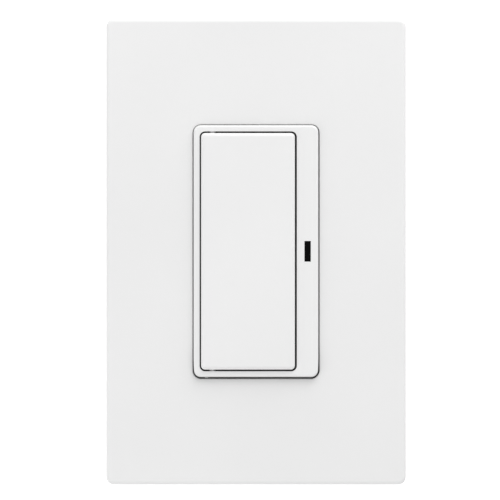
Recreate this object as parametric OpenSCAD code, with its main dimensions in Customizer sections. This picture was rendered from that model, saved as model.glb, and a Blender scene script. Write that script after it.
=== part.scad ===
/* [Wall plate] */
// Width of the wall plate
plate_w = 79.8; // [78:0.1:90]
// Height of the wall plate
plate_h = 124; // [122:0.1:136]
// Depth of the wall plate, from the wall to its face
plate_depth = 7; // [6.6:0.1:8]
// Thickness of the plate's face
plate_skin = 1.9; // [1.5:0.1:2.1]
// Thickness of the plate's outer rim
plate_rim = 1.6; // [1.2:0.1:1.8]
// Corner radius of the plate's outline
plate_corner = 2.2; // [1.9:0.1:4]
// Rounding of the plate's front edge
plate_edge = 1.1; // [0.5:0.1:1.4]
// Rounding of the front edge of the plate's opening
opening_edge = 0.3; // [0.1:0.05:0.6]
// Width of the notch in the bottom rim for prying the plate off
pry_w = 9; // [5:0.5:14]
// How far the plate hangs below the middle of the frame, within its gap
plate_hang = 0.11; // [0:0.01:0.12]
// How far the plate sits to the right of the middle of the frame
plate_aside = 0.04; // [0:0.01:0.1]

/* [Front frame] */
// Width of the frame that shows in the plate
frame_w = 33.1; // [32.6:0.1:33.6]
// Height of the frame that shows in the plate
frame_h = 66.9; // [66:0.1:67.4]
// How far the frame stands proud of the plate
frame_proud = 1.4; // [0.8:0.1:2]
// Corner radius of the frame's outline
frame_corner = 1.9; // [1.2:0.1:3]
// Rounding of the frame's front edge
frame_edge = 0.7; // [0.3:0.1:1]
// Gap between the frame and the plate, each side
frame_gap = 0.2; // [0.15:0.05:0.5]
// Width of the frame's border to the left of the paddle
frame_border = 1.61; // [1.4:0.01:2]
// Width of the frame's borders above and below the paddle
end_border = 1.67; // [1.5:0.01:2.2]
// Width of the frame's strip to the right of the paddle
strip_w = 5.72; // [5.4:0.01:6.4]
// Depth of the pocket that the paddle sits in
pocket_depth = 5.2; // [5:0.1:5.4]
// Thickness of the pocket's floor
floor_t = 1.6; // [1.4:0.1:2]
// Thickness of the frame's hidden walls
frame_wall = 1.5; // [1.2:0.1:1.6]
// Thickness of the frame's flange behind the strap
flange_t = 2; // [1.6:0.1:2.6]

/* [Paddle] */
// How far the paddle stands proud of the frame
paddle_proud = 1.1; // [0.8:0.1:1.5]
// Thickness of the paddle's face
paddle_skin = 1.8; // [1.4:0.1:2]
// Thickness of the paddle's skirt
skirt_t = 1.2; // [1:0.1:1.4]
// Corner radius of the paddle
paddle_corner = 1.1; // [0.95:0.05:2]
// Rounding of the paddle's front edge
paddle_edge = 1; // [0.4:0.05:1.05]
// Gap on the hinged side of the paddle
gap_left = 0.37; // [0.25:0.01:0.45]
// Gap on the free side of the paddle
gap_right = 0.5; // [0.3:0.01:0.6]
// Gap above and below the paddle
gap_end = 0.43; // [0.25:0.01:0.5]
// Distance from the paddle's left edge to its hinge axis
pivot_in = 3; // [2.4:0.1:4]
// Radius of the paddle's hinge pins
pivot_r = 0.6; // [0.5:0.05:0.7]
// Depth of the hinge axis below the frame's front
pivot_depth = 1.3; // [1.2:0.05:1.6]
// Angle that the paddle turns when it is pressed
press_angle = 3.2; // [2.5:0.1:3.4]
// Distance from the paddle's free edge to the switch under it
switch_in = 7.9; // [7:0.1:9]

/* [Indicator] */
// Width of the indicator lens
lens_w = 1.6; // [1.2:0.1:1.8]
// Height of the indicator lens
lens_h = 5.4; // [4:0.1:8]
// How far the lens is sunk below the frame's front
lens_sunk = 0.25; // [0.1:0.05:0.5]

/* [Mounting strap] */
// Thickness of the strap
strap_t = 1.3; // [1:0.1:1.6]
// Overall height of the strap
strap_h = 106.6; // [104:0.1:110]
// How far the strap reaches past the housing at each side
strap_side = 0.2; // [0.1:0.05:1]
// Height of the strap's bridges above and below its window
strap_bridge = 1.85; // [1.5:0.05:2.4]
// Width of the strap's ears
ear_w = 27; // [22:0.5:28]
// Width across the break-off wings at the ends of the ears
wing_w = 34; // [30:0.5:38]
// How far the wall box stands proud of the wall
box_lip = 0.4; // [0.2:0.1:0.8]
// Distance between the two wall box screws
box_screw_pitch = 83.34; // [82.9:0.01:83.8]
// Distance between the two wall plate screws
plate_screw_pitch = 96.84; // [96.6:0.01:97.2]
// Length of the slots for the wall box screws
slot_l = 6.8; // [5:0.1:9]
// Half of the width of those slots
slot_r = 2.1; // [1.8:0.05:2.4]

/* [Sub plate] */
// Distance from the wall plate's sides to the sub plate's
sub_side = 4.4; // [3.6:0.1:6]
// Distance from the wall plate's ends to the sub plate's
sub_end = 5; // [3.6:0.1:7]
// Thickness of the sub plate
sub_t = 2.6; // [2.4:0.1:2.8]

/* [Rear housing] */
// Width of the housing
housing_w = 44; // [43.6:0.1:44.2]
// Height of the housing
housing_h = 67.5; // [67.2:0.1:69]
// Depth of the housing behind the frame's flange
housing_depth = 31; // [30:0.5:36]
// Thickness of the housing's walls
housing_wall = 1.8; // [1.5:0.1:2.2]
// Corner radius of the housing
housing_corner = 2.5; // [2:0.1:4]
// Rounding of the housing's back edge
housing_edge = 1.2; // [0.6:0.1:1.8]

/* [Screws] */
// Length of the threaded part of the wall box screws
box_screw_l = 22; // [16:1:32]
// Radius of the wall box screws over their threads
box_screw_r = 1.75; // [1.7:0.01:1.8]
// Radius of the terminal screw heads
terminal_head_r = 3.6; // [3:0.1:4]
// Radius of the terminal screw shanks
terminal_r = 1.85; // [1.6:0.05:2]

/* [Circuit boards] */
// Distance from the pocket's floor to the control board
board_drop = 5; // [4.8:0.1:5.4]
// Thickness of the control board
board_t = 1.2; // [1:0.1:1.6]
// Thickness of the power board
power_t = 1.6; // [1.2:0.1:2]
// Height of the posts under the power board
post_h = 3.4; // [3:0.1:4]
// Height of the tact switch's case
tact_h = 3.5; // [3.2:0.1:3.8]

/* [Hidden] */

$fn = 64;
past = 1;
touch = 0.001;
inner_corner = 1;
board_corner = 1;
sliver = 0.05;
seat_gap = 0.05;
fit_gap = 0.03;
root = 0.5;
screw_room = 0.2;
hole_room = 0.15;
pin_room = 0.1;

// Levels in front of the wall, which is at 0. They are counted outwards, so what is in the wall is negative.
strap_back = box_lip;
strap_front = strap_back + strap_t;
sub_front = strap_front + sub_t;
plate_inner = plate_depth - plate_skin;
frame_front = plate_depth + frame_proud;
paddle_front = frame_front + paddle_proud;
paddle_under = paddle_front - paddle_skin;
floor_top = frame_front - pocket_depth;
floor_back = floor_top - floor_t;
flange_back = strap_back - flange_t;
housing_back = flange_back - housing_depth;
housing_floor = housing_back + housing_wall;
pivot_z = frame_front - pivot_depth;
board_front = floor_back - board_drop;
board_back = board_front - board_t;
stem_top = floor_back - 0.2;
power_back = housing_floor + post_h;
power_front = power_back + power_t;

// The pocket is what the frame's borders leave, and the paddle is what the gaps leave of the pocket.
pocket_left = -frame_w / 2 + frame_border;
pocket_right = frame_w / 2 - strip_w;
pocket_w = pocket_right - pocket_left;
pocket_h = frame_h - 2 * end_border;
pocket_x = (pocket_left + pocket_right) / 2;
paddle_w = pocket_w - gap_left - gap_right;
paddle_h = pocket_h - 2 * gap_end;
paddle_left = pocket_left + gap_left;
paddle_right = pocket_right - gap_right;
paddle_x = (paddle_left + paddle_right) / 2;
pivot_x = paddle_left + pivot_in;
switch_x = paddle_right - switch_in;
strip_hollow = strip_w - 2 * frame_wall;
lens_x = frame_w / 2 - strip_w / 2;

// Wall plate and sub plate
opening_w = frame_w + 2 * frame_gap;
opening_h = frame_h + 2 * frame_gap;
opening_corner = frame_corner + frame_gap;
opening_rib = 1.2;
sub_w = plate_w - 2 * sub_side;
sub_h = plate_h - 2 * sub_end;
snap_in = [6.5, 17];
snap_at = [sub_w / 2 - snap_in[0], sub_h / 2 - snap_in[1]];
snap_w = 6;
snap_t = 1.5;
snap_catch = 0.9;
snap_room = 0.2;
snap_end = 0.6;
snap_face = 0.25;
rest_rib = [9, 1.2];
rest_rib_in = [14.5, 3];
rest_rib_at = [sub_w / 2 - rest_rib_in[0], sub_h / 2 - rest_rib_in[1]];
pry_depth = 1.8;
sub_corner = 3;
sub_opening = [frame_w + 2.4, frame_h + 2.4];
sub_opening_corner = frame_corner + 1;
sub_lip_t = 1.2;
sub_lip_end = 0.2;
sub_rib_t = 1;
sub_rib_end = 0.5;
sub_rib_past = 3.8;
sub_rib_room = 1.5;
sub_cross_ribs = [5.5, 16.5, 27.5];
head_room = 0.3;
head_side = 0.5;

// Front frame
strip_end = 4;
lens_room = 0.04;
lens_seat = 0.02;
guide_gap = 0.4;
boss_wall = 0.8;

// Mounting strap
window_gap = 0.2;
strap_w = housing_w + 2 * strap_side;
strap_mid_h = frame_h + 2 * (window_gap + strap_bridge);
ear_corner = 2.5;
wing_h = 9;
score_w = 0.5;
score_past = 0.4;
score_depth = 0.4 * strap_t;
tap_gap = 0.03;
sub_screw_r = 1.72;
sub_screw_head_r = 3.2;
sub_screw_l = 5.6;
sub_screw_cone = 1.6;
ground_tab_w = 8;
ground_tab_x = -17.6;
ground_bend = 0.8;
bend_gap = 0.1;
tab_relief = 0.8;
ground_tab_end = -10;
ground_screw_z = -5.4;

// Screws that hold the housing, and the screws of the wall box
case_screw_in = [3.1, 5.35];
case_screw_at = [housing_w / 2 - case_screw_in[0], housing_h / 2 - case_screw_in[1]];
case_screw_r = 1.2;
case_head_r = 2.1;
case_head_h = 1.9;
case_counterbore = 2.2;
column_r = 2.8;
seam_drop = 5;
seam_w = 0.5;
seam_depth = 0.35;
label_recess = [22, 30, 0.3];
gauge = [12, 2.2, 0.6];
gauge_y = -24;
gauge_corner = 0.5;
funnel = 0.6;
box_head_r = 3.4;
box_head_h = 1.5;
box_neck_r = 1.42;
retainer_w = 9;
retainer_t = 0.8;
retainer_corner = 0.8;
neck_room = 0.08;
box_point = 0.8;
drive_slot = 0.9;
screw_point = 0.5;
short_point = 0.3;
thin_point = 0.4;

// Terminals: each is the side it is on, and its height above the middle
terminal_row = 13;
terminals = [[1, terminal_row], [1, -terminal_row], [-1, terminal_row]];
terminal_drop = 18;
terminal_z = flange_back - terminal_drop;
terminal_pocket = [6.2, 9.4, 14];
terminal_head_h = 2;
tower_in = 8;
tower_h = 12;
tower_rise = 9;
tower_top = terminal_z + tower_rise;
terminal_plate = [1, 10.4, 15.5];
plate_slot = 0.05;
clamp = [1.2, 7.8, 8];
clamp_gap = 1.6;
wire_hole_r = 1.2;
wire_hole_at = 2.7;
tail_w = 2.4;
tail_t = 0.8;
tail_in = 9.8;
tail_x = housing_w / 2 - tail_in;
tail_past = 0.9;

// Paddle
skirt_lift = 1.9;
skirt_corner = 0.6;
rib_t = 0.9;
rib_bite = 0.2;
rib_h = 1.6;
rib_end_in = 5.35;
rib_end = paddle_h / 2 - rib_end_in;
rib_rows = [-rib_end, -14, -7, 7, 14, rib_end];
rib_column = (pivot_x + switch_x) / 2;
stop_in = 3.75;
stop_x = paddle_right - stop_in;
stop_rib = [1, 6];
stop_rows = [-10.5, 10.5];
pusher_r = 1.4;
pusher_dome = 2.2;
pusher_round = 1.2;
pusher_hole_r = 2.4;
hook_row_in = 9.35;
hook_rows = [hook_row_in - paddle_h / 2, paddle_h / 2 - hook_row_in];
hook_w = 5;
hook_t = 1.2;
hook_in = 0.2;
hook_catch = 1.1;
hook_room = 0.65;
hook_side = 0.4;
hook_under = 0.3;
hook_lip = 0.4;
slot_ledge = 0.07;
hook_tip = 0.8;
pin_seat = 0.8;
pin_hole_end = 0.15;
spring_row_in = 11.35;
spring_rows = [spring_row_in - paddle_h / 2, paddle_h / 2 - spring_row_in];
spring_r = 2;
wire_r = 0.25;
spring_turns = 5;
steps_a_turn = 14;
spring_flat = 0.5;
spring_cup_r = 2.6;
spring_cup = 0.6;
spring_spigot_r = 1.3;
spring_spigot = 1.2;

// Boards and what they carry
board_in = [6.2, 3.75];
board = [housing_w - 2 * board_in[0], housing_h - 2 * board_in[1]];
board_screw_in = [5.05, 5.95];
board_screw_at = [frame_w / 2 - board_screw_in[0], frame_h / 2 - board_screw_in[1]];
board_boss_r = 2;
board_screw_r = 0.8;
board_screw_hole = 4.4;
board_screw_bite = 3.6;
board_head_r = 1.6;
board_head_h = 1.1;
power_in = [8.6, 5.75];
power_board_size = [housing_w - 2 * power_in[0], housing_h - 2 * power_in[1]];
post_in = [2.4, 3];
post_at = [power_board_size[0] / 2 - post_in[0], power_board_size[1] / 2 - post_in[1]];
post_r = 2;
stake_r = 0.9;
stake_rise = 1;
sheet_in = [0.6, 5];
sheet_size = [board[0] - 2 * sheet_in[0], board[1] - 2 * sheet_in[1]];
sheet_t = 0.25;
tact = 6.2;
tact_lid = 0.4;
stem_r = 1.6;
stem_collar_r = 2.1;
stem_collar_t = 0.5;
tact_hollow_r = 2.3;
header_in = 1.8;
header_x = header_in - power_board_size[0] / 2;
header_pins = 5;
header_pitch = 2.54;
header_pin = 0.64;
header_hole_r = 0.5;
header_body = 2.5;
header_room = 1.6;
lens_flange = [strip_hollow - 0.12, lens_h + 2, 0.8];
led = [1.6, 3.2, 0.9];
chip = [7, 7, 0.9];
chip_at = [-6, -9];
chip_lift = 0.1;
chip_feet = 7;
chip_foot = [1, 0.36, 0.3];
chip_foot_in = 0.2;
chip_pitch = 0.8;
tact_base = 0.8;
tact_foot = [1, 0.7, 0.25];
tact_foot_out = 0.3;
tact_foot_row = 2.25;
stem_foot = 0.6;
lead_past = 0.8;
lead_into = 1;
ground_head_r = 3.2;
ground_head_h = 1.7;

// Parts of the power board: place, step from the middle to each wire doubled, and size
lead_r = 0.35;
supply_at = [4.5, -18.5];
supply_step = [5, 0];
supply_r = 5;
supply_h = 14;
filter_at = [-3.5, 17];
filter_step = [10, 0];
filter_size = [13, 6.5, 11.5];
varistor_at = [5.6, 8];
varistor_step = [5, 0];
varistor_r = 4.2;
varistor_t = 3.6;
coil_at = [-4, -4];
coil_step = [0, 5];
coil_r = 4.4;
coil_h = 9;
fuse_at = [5.6, -5];
fuse_step = [0, 12];
fuse_r = 1.7;
fuse_l = 9;
fuse_cap = 1.8;

// Turns what is drawn facing up, with its height as Y, to stand on the wall and face -Y.
module stand() {
    rotate([90, 0, 0])
        children();
}

// Puts the children at both signs of the given place on each axis.
module four(at) {
    for (sx = [-1, 1], sy = [-1, 1])
        translate([sx * at[0], sy * at[1], 0])
            children();
}

module above_and_below(y) {
    for (s = [-1, 1])
        translate([0, s * y, 0])
            children();
}

// Flat rectangle with round corners
module round_rect(w, h, r) {
    square([w - 2 * r, h], center = true);
    square([w, h - 2 * r], center = true);
    four([w / 2 - r, h / 2 - r])
        circle(r);
}

// Slab of a round rectangle, between two levels
module slab(w, h, r, low, high) {
    translate([0, 0, low])
        linear_extrude(high - low)
            round_rect(w, h, r);
}

module disc(r, low, high) {
    translate([0, 0, low])
        cylinder(r = r, h = high - low);
}

// Carries a profile round a rectangle with round corners. Its X is counted from the corner's centre.
module around(w, h, r) {
    for (k = [0:3]) {
        out = k % 2 == 0 ? w / 2 : h / 2;
        run = k % 2 == 0 ? h / 2 : w / 2;
        rotate([0, 0, 90 * k])
            translate([out - r, run - r, 0]) {
                rotate([90, 0, 0])
                    linear_extrude(2 * (run - r))
                        children();
                rotate_extrude(angle = 90)
                    children();
            }
    }
}

// Half section of a slab with a rounded front edge, from its corner's centre outwards
module soft_section(r, t, edge) {
    soft = min(edge, r - sliver);
    square([r, t - soft]);
    square([r - soft, t]);
    translate([r - soft, t - soft])
        intersection() {
            circle(soft);
            square(soft);
        }
}

// Slab whose front edge is rounded all round
module soft_slab(w, h, t, r, edge) {
    around(w, h, r)
        soft_section(r, t, edge);
    translate([r - w / 2, r - h / 2, 0])
        cube([w - 2 * r, h - 2 * r, t]);
}

// What is cut away to round the front edge of an opening of this size
module edge_cutter(w, h, r, edge, front) {
    grown = r + edge;
    around(w + 2 * edge, h + 2 * edge, grown)
        translate([r, front - edge])
            difference() {
                translate([-edge / 2, 0])
                    square([1.5 * edge, 2 * edge]);
                translate([edge, 0])
                    circle(edge);
            }
}

// Screw head recess: a slot across the head, and a shorter one that makes it a cross
module drive(r, depth) {
    short = 0.6 * r;
    translate([0, 0, -depth]) {
        translate([-r, -drive_slot / 2, 0])
            cube([2 * r, drive_slot, depth + past]);
        translate([-drive_slot / 2, -short, 0])
            cube([drive_slot, 2 * short, depth + past]);
    }
}

// Pan head of a screw that stands on level 0, domed at its rim
module pan_head(r, h) {
    dome = 2.4 * r;
    difference() {
        rotate_extrude()
            intersection() {
                square([r, h]);
                translate([0, h - dome])
                    circle(dome);
            }
        translate([0, 0, h])
            drive(r, h * 0.55);
    }
}

// Round shank that runs down from level 0, with a short point
module shank(r, l, point) {
    translate([0, 0, point - l])
        cylinder(r = r, h = l - point);
    translate([0, 0, -l])
        cylinder(r1 = r - point * 0.7, r2 = r, h = point);
}

module snap_hook(reach) {
    rotate([90, 0, 0])
        linear_extrude(snap_w, center = true)
            polygon([
                [0, plate_inner + plate_skin / 2],
                [0, snap_end],
                [snap_t, snap_end],
                [snap_t + reach, strap_front - seat_gap - snap_face],
                [snap_t + reach, strap_front - seat_gap],
                [snap_t, strap_front - seat_gap],
                [snap_t, plate_inner + plate_skin / 2],
            ]);
}

// Screwless cover plate: a dished moulding with snap hooks and ribs behind its face
module wall_plate() {
    color("white")
        stand()
            translate([plate_aside, -plate_hang, 0]) {
                difference() {
                    union() {
                        around(plate_w, plate_h, plate_corner)
                            difference() {
                                soft_section(plate_corner, plate_depth, plate_edge);
                                translate([-past, -past])
                                    square([plate_corner - plate_rim + past, plate_inner + past]);
                            }
                        translate([plate_corner - plate_w / 2, plate_corner - plate_h / 2, plate_inner])
                            cube([plate_w - 2 * plate_corner, plate_h - 2 * plate_corner, plate_skin]);
                        slab(
                            opening_w + 2 * opening_rib,
                            opening_h + 2 * opening_rib,
                            opening_corner + opening_rib,
                            sub_front,
                            plate_inner + plate_skin / 2
                        );
                    }
                    slab(opening_w, opening_h, opening_corner, -past, plate_depth + past);
                    edge_cutter(opening_w, opening_h, opening_corner, opening_edge, plate_depth);
                    translate([-pry_w / 2, -plate_h / 2 - past, -past])
                        cube([pry_w, plate_rim + 2 * past, pry_depth + past]);
                }
                for (side = [0, 180], row = [-1, 1])
                    rotate([0, 0, side])
                        translate([snap_at[0], row * snap_at[1], 0])
                            snap_hook(snap_catch);
                for (sx = [-1, 1], sy = [-1, 1])
                    translate([
                        sx * rest_rib_at[0] - rest_rib[0] / 2,
                        sy * rest_rib_at[1] - rest_rib[1] / 2,
                        sub_front
                    ])
                        cube([rest_rib[0], rest_rib[1], plate_inner + plate_skin / 2 - sub_front]);
            }
}

// Plate that is screwed to the strap and carries the cover
module sub_plate() {
    room = snap_room;
    inner_w = sub_w - 2 * sub_lip_t;
    inner_h = sub_h - 2 * sub_lip_t;
    rib_x = strap_w / 2 + sub_rib_past;
    cross_l = inner_w / 2 - rib_x;
    rib_reach = snap_at[1] - snap_w / 2 - sub_rib_room;
    color("whitesmoke")
        stand()
            difference() {
                union() {
                    difference() {
                        slab(sub_w, sub_h, sub_corner, sub_lip_end, sub_front);
                        slab(inner_w, inner_h, sub_corner - sub_lip_t, sub_lip_end - past, strap_front);
                    }
                    for (side = [0, 180])
                        rotate([0, 0, side]) {
                            translate([rib_x - sub_rib_t / 2, -rib_reach, sub_rib_end])
                                cube([sub_rib_t, 2 * rib_reach, strap_front + root - sub_rib_end]);
                            for (row = sub_cross_ribs, sy = [-1, 1])
                                translate([rib_x, sy * row - sub_rib_t / 2, sub_rib_end])
                                    cube([cross_l + root, sub_rib_t, strap_front + root - sub_rib_end]);
                        }
                }
                slab(sub_opening[0], sub_opening[1], sub_opening_corner, -past, sub_front + past);
                for (side = [0, 180], row = [-1, 1])
                    rotate([0, 0, side])
                        translate([
                            snap_at[0] - room,
                            row * snap_at[1] - snap_w / 2 - room,
                            strap_front - past
                        ])
                            cube([snap_t + 2 * room, snap_w + 2 * room, sub_t + 2 * past]);
                above_and_below(box_screw_pitch / 2)
                    disc(box_head_r + head_side, strap_front - past, strap_front + box_head_h + head_room);
                above_and_below(plate_screw_pitch / 2) {
                    disc(sub_screw_r + pin_room, strap_front - past, sub_front + past);
                    translate([0, 0, sub_front - sub_screw_cone])
                        cylinder(
                            r1 = sub_screw_r + pin_room,
                            r2 = sub_screw_head_r + pin_room,
                            h = sub_screw_cone + touch
                        );
                }
            }
}

// Countersunk screws that hold the sub plate to the strap
module sub_plate_screws() {
    color("silver")
        stand()
            above_and_below(plate_screw_pitch / 2)
                translate([0, 0, sub_front - seat_gap])
                    difference() {
                        union() {
                            translate([0, 0, -sub_screw_cone])
                                cylinder(r1 = sub_screw_r, r2 = sub_screw_head_r, h = sub_screw_cone);
                            translate([0, 0, -sub_screw_cone])
                                shank(sub_screw_r, sub_screw_l - sub_screw_cone, screw_point);
                        }
                        drive(sub_screw_head_r * 0.7, sub_screw_cone / 2);
                    }
}

// Frame that fills the opening: pocket for the paddle, hollow strip for the indicator, and a flange
module front_frame() {
    slot_x = paddle_right - hook_in - hook_t - hook_room;
    slot_end = pocket_right - slot_ledge;
    full_depth = frame_front - flange_back;
    hollow_w = frame_w - 2 * frame_wall;
    hollow_h = frame_h - 2 * frame_wall;
    skin = frame_front - floor_t;
    strip_h = frame_h - 2 * strip_end;
    pin_end = pocket_h / 2 + pin_seat + pin_hole_end;
    color("white")
        stand()
            difference() {
                union() {
                    difference() {
                        union() {
                            translate([0, 0, flange_back])
                                soft_slab(frame_w, frame_h, full_depth, frame_corner, frame_edge);
                            slab(housing_w, housing_h, housing_corner, flange_back, strap_back);
                        }
                        translate([pocket_x, 0, 0])
                            slab(pocket_w, pocket_h, paddle_corner + gap_left, floor_top, frame_front + past);
                        slab(hollow_w, hollow_h, inner_corner, flange_back - past, floor_back);
                        translate([lens_x - strip_hollow / 2, -strip_h / 2, floor_back - past])
                            cube([strip_hollow, strip_h, skin - floor_back + past]);
                    }
                    four(board_screw_at)
                        disc(board_boss_r, board_front, floor_back + floor_t / 2);
                    for (y = spring_rows)
                        translate([switch_x, y, 0])
                            disc(spring_cup_r + boss_wall, floor_top - floor_t / 2, floor_top + spring_cup);
                }
                four(board_screw_at)
                    disc(board_screw_r + tap_gap, board_front - past, board_front + board_screw_hole);
                four(case_screw_at)
                    disc(case_screw_r + screw_room, flange_back - past, strap_back + past);
                for (y = spring_rows)
                    translate([switch_x, y, 0])
                        disc(spring_cup_r, floor_top, floor_top + spring_cup + past);
                translate([switch_x, 0, 0])
                    disc(pusher_hole_r, floor_back - past, floor_top + past);
                for (y = hook_rows)
                    translate([slot_x, y - hook_w / 2 - hook_side, floor_back - past])
                        cube([slot_end - slot_x, hook_w + 2 * hook_side, floor_t + 2 * past]);
                translate([lens_x - lens_w / 2 - lens_room, -lens_h / 2 - lens_room, skin - past])
                    cube([lens_w + 2 * lens_room, lens_h + 2 * lens_room, floor_t + 2 * past]);
                translate([pivot_x, 0, pivot_z])
                    rotate([90, 0, 0])
                        cylinder(r = pivot_r + seat_gap, h = 2 * pin_end, center = true);
            }
}

// Hook that keeps the paddle's free side in the frame, with its catch under the floor
module paddle_hook() {
    top = floor_back - hook_under;
    rotate([90, 0, 0])
        linear_extrude(hook_w, center = true)
            polygon([
                [0, paddle_under + paddle_skin / 2],
                [0, top - hook_tip - hook_lip],
                [hook_t * 0.7, top - hook_tip - hook_lip],
                [hook_t + hook_catch, top - hook_lip],
                [hook_t + hook_catch, top],
                [hook_t, top],
                [hook_t, paddle_under + paddle_skin / 2],
            ]);
}

// Paddle: a dished moulding with hinge pins, ribs, hooks and the pusher for the switch behind it
module paddle() {
    skirt_end = floor_top + skirt_lift;
    inner_w = paddle_w - 2 * skirt_t;
    inner_h = paddle_h - 2 * skirt_t;
    stop_end = floor_top + (stop_x - pivot_x) * sin(press_angle) + seat_gap;
    pusher_tip = stem_top + seat_gap;
    pin_l = pocket_h / 2 + pin_seat;
    color("white")
        stand() {
            difference() {
                translate([paddle_x, 0, skirt_end])
                    soft_slab(paddle_w, paddle_h, paddle_front - skirt_end, paddle_corner, paddle_edge);
                translate([paddle_x, 0, 0])
                    slab(inner_w, inner_h, skirt_corner, skirt_end - past, paddle_under);
            }
            for (y = rib_rows)
                translate([paddle_x - inner_w / 2 - rib_bite, y - rib_t / 2, paddle_under - rib_h])
                    cube([inner_w + 2 * rib_bite, rib_t, rib_h + root]);
            translate([rib_column - rib_t / 2, -inner_h / 2 - rib_bite, paddle_under - rib_h])
                cube([rib_t, inner_h + 2 * rib_bite, rib_h + root]);
            for (y = stop_rows)
                translate([stop_x - stop_rib[0] / 2, y - stop_rib[1] / 2, stop_end])
                    cube([stop_rib[0], stop_rib[1], paddle_under + root - stop_end]);
            for (y = spring_rows)
                translate([switch_x, y, 0])
                    disc(spring_spigot_r, paddle_under - spring_spigot, paddle_under + root);
            for (y = hook_rows)
                translate([paddle_right - hook_in - hook_t, y, 0])
                    paddle_hook();
            translate([switch_x, 0, 0]) {
                disc(pusher_r, pusher_tip + pusher_round / 2, paddle_under + root);
                intersection() {
                    disc(pusher_r, pusher_tip - past, pusher_tip + pusher_round);
                    translate([0, 0, pusher_tip + pusher_dome])
                        sphere(pusher_dome);
                }
            }
            for (s = [-1, 1])
                translate([pivot_x, s * (pin_l + inner_h / 2) / 2, pivot_z])
                    rotate([90, 0, 0])
                        cylinder(r = pivot_r, h = pin_l - inner_h / 2, center = true);
        }
}

// Compression spring that stands on the pocket's floor, its wire swept as a ring of points along a helix
module return_spring(y) {
    sides = 8;
    steps = steps_a_turn * spring_turns;
    low = floor_top + wire_r + fit_gap;
    rise = paddle_under - floor_top - 2 * (wire_r + fit_gap);
    flat = spring_flat / spring_turns;
    function level(u) = min(1, max(0, (u - flat) / (1 - 2 * flat)));
    function ring(i) = [
        for (k = [0:sides - 1])
            let (
                a = 360 * spring_turns * i / steps,
                b = 360 * k / sides,
                reach = spring_r - wire_r + wire_r * cos(b)
            )
            [reach * cos(a), reach * sin(a), low + rise * level(i / steps) + wire_r * sin(b)]
    ];
    points = [for (i = [0:steps]) each ring(i)];
    walls = [
        for (i = [0:steps - 1], k = [0:sides - 1])
            let (next = (k + 1) % sides)
            [i * sides + k, (i + 1) * sides + k, (i + 1) * sides + next, i * sides + next]
    ];
    first = [for (k = [0:sides - 1]) k];
    last = [for (k = [0:sides - 1]) steps * sides + sides - 1 - k];
    color("silver")
        stand()
            translate([switch_x, y, 0])
                polyhedron(points, concat([first], walls, [last]));
}

module upper_return_spring() {
    return_spring(spring_rows[1]);
}

module lower_return_spring() {
    return_spring(spring_rows[0]);
}

// Smoked lens in the frame's strip, with a flange behind the skin and a light guide down to the board
module indicator_lens() {
    skin = frame_front - floor_t;
    guide_l = 0.6 * lens_h;
    guide_end = board_front + led[2] + guide_gap;
    color("dimgray")
        stand()
            translate([lens_x, 0, 0]) {
                translate([-lens_w / 2, -lens_h / 2, skin - root])
                    cube([lens_w, lens_h, frame_front - lens_sunk - skin + root]);
                translate([-lens_flange[0] / 2, -lens_flange[1] / 2, skin - lens_seat - lens_flange[2]])
                    cube(lens_flange);
                translate([-lens_w / 2, -guide_l / 2, guide_end])
                    cube([lens_w, guide_l, skin - root - guide_end]);
            }
}

// Steel strap that the device hangs on in the wall box
module mounting_strap() {
    window = [frame_w + 2 * window_gap, frame_h + 2 * window_gap];
    bend_y = -housing_h / 2 - bend_gap;
    tab_edge = ground_tab_x - ground_tab_w / 2;
    color("silver")
        stand() {
            difference() {
                union() {
                    slab(strap_w, strap_mid_h, ear_corner, strap_back, strap_front);
                    slab(ear_w, strap_h, ear_corner, strap_back, strap_front);
                    above_and_below((strap_h - wing_h) / 2)
                        slab(wing_w, wing_h, ear_corner, strap_back, strap_front);
                }
                slab(window[0], window[1], frame_corner, strap_back - past, strap_front + past);
                four(case_screw_at)
                    disc(case_screw_r + tap_gap, strap_back - past, strap_front + past);
                above_and_below(box_screw_pitch / 2) {
                    slab(slot_l, 2 * slot_r, slot_r - touch, strap_back - past, strap_front + past);
                }
                above_and_below(plate_screw_pitch / 2)
                    disc(sub_screw_r + tap_gap, strap_back - past, strap_front + past);
                for (sx = [-1, 1], sy = [-1, 1])
                    translate([
                        sx * (ear_w / 2 + score_past) - score_w / 2,
                        sy * (strap_h - wing_h) / 2 - wing_h,
                        strap_front - score_depth
                    ])
                        cube([score_w, 2 * wing_h, strap_t]);
                translate([tab_edge - tab_relief, bend_y - ear_corner * 2, strap_back - past])
                    cube([ground_tab_w + 2 * tab_relief, ear_corner * 2, strap_t + 2 * past]);
            }
            translate([tab_edge, bend_y, strap_back - ground_bend])
                rotate([0, 90, 0])
                    rotate([0, 0, 180])
                        rotate_extrude(angle = 90)
                            translate([ground_bend, 0])
                                square([strap_t, ground_tab_w]);
            difference() {
                translate([tab_edge, bend_y - ground_bend - strap_t, ground_tab_end])
                    cube([ground_tab_w, strap_t, strap_back - ground_bend - ground_tab_end]);
                translate([ground_tab_x, bend_y - ground_bend - strap_t / 2, ground_screw_z])
                    rotate([90, 0, 0])
                        cylinder(r = box_screw_r + tap_gap, h = strap_t + 2 * past, center = true);
            }
        }
}

// Screws for the wall box: the neck stays in the strap's slot, the thread is free behind the retainer
module box_screws() {
    thread_top = strap_back - retainer_t - pin_room;
    color("silver")
        stand()
            above_and_below(box_screw_pitch / 2) {
                translate([0, 0, strap_front])
                    pan_head(box_head_r, box_head_h);
                disc(box_neck_r, thread_top - root, strap_front + short_point);
                translate([0, 0, thread_top])
                    shank(box_screw_r, box_screw_l, box_point);
            }
}

// Square washers that keep the wall box screws on the strap
module screw_retainers() {
    color("dimgray")
        stand()
            above_and_below(box_screw_pitch / 2)
                difference() {
                    slab(retainer_w, retainer_w, retainer_corner, strap_back - retainer_t, strap_back);
                    disc(box_neck_r + neck_room, strap_back - retainer_t - past, strap_back + past);
                }
}

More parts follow.
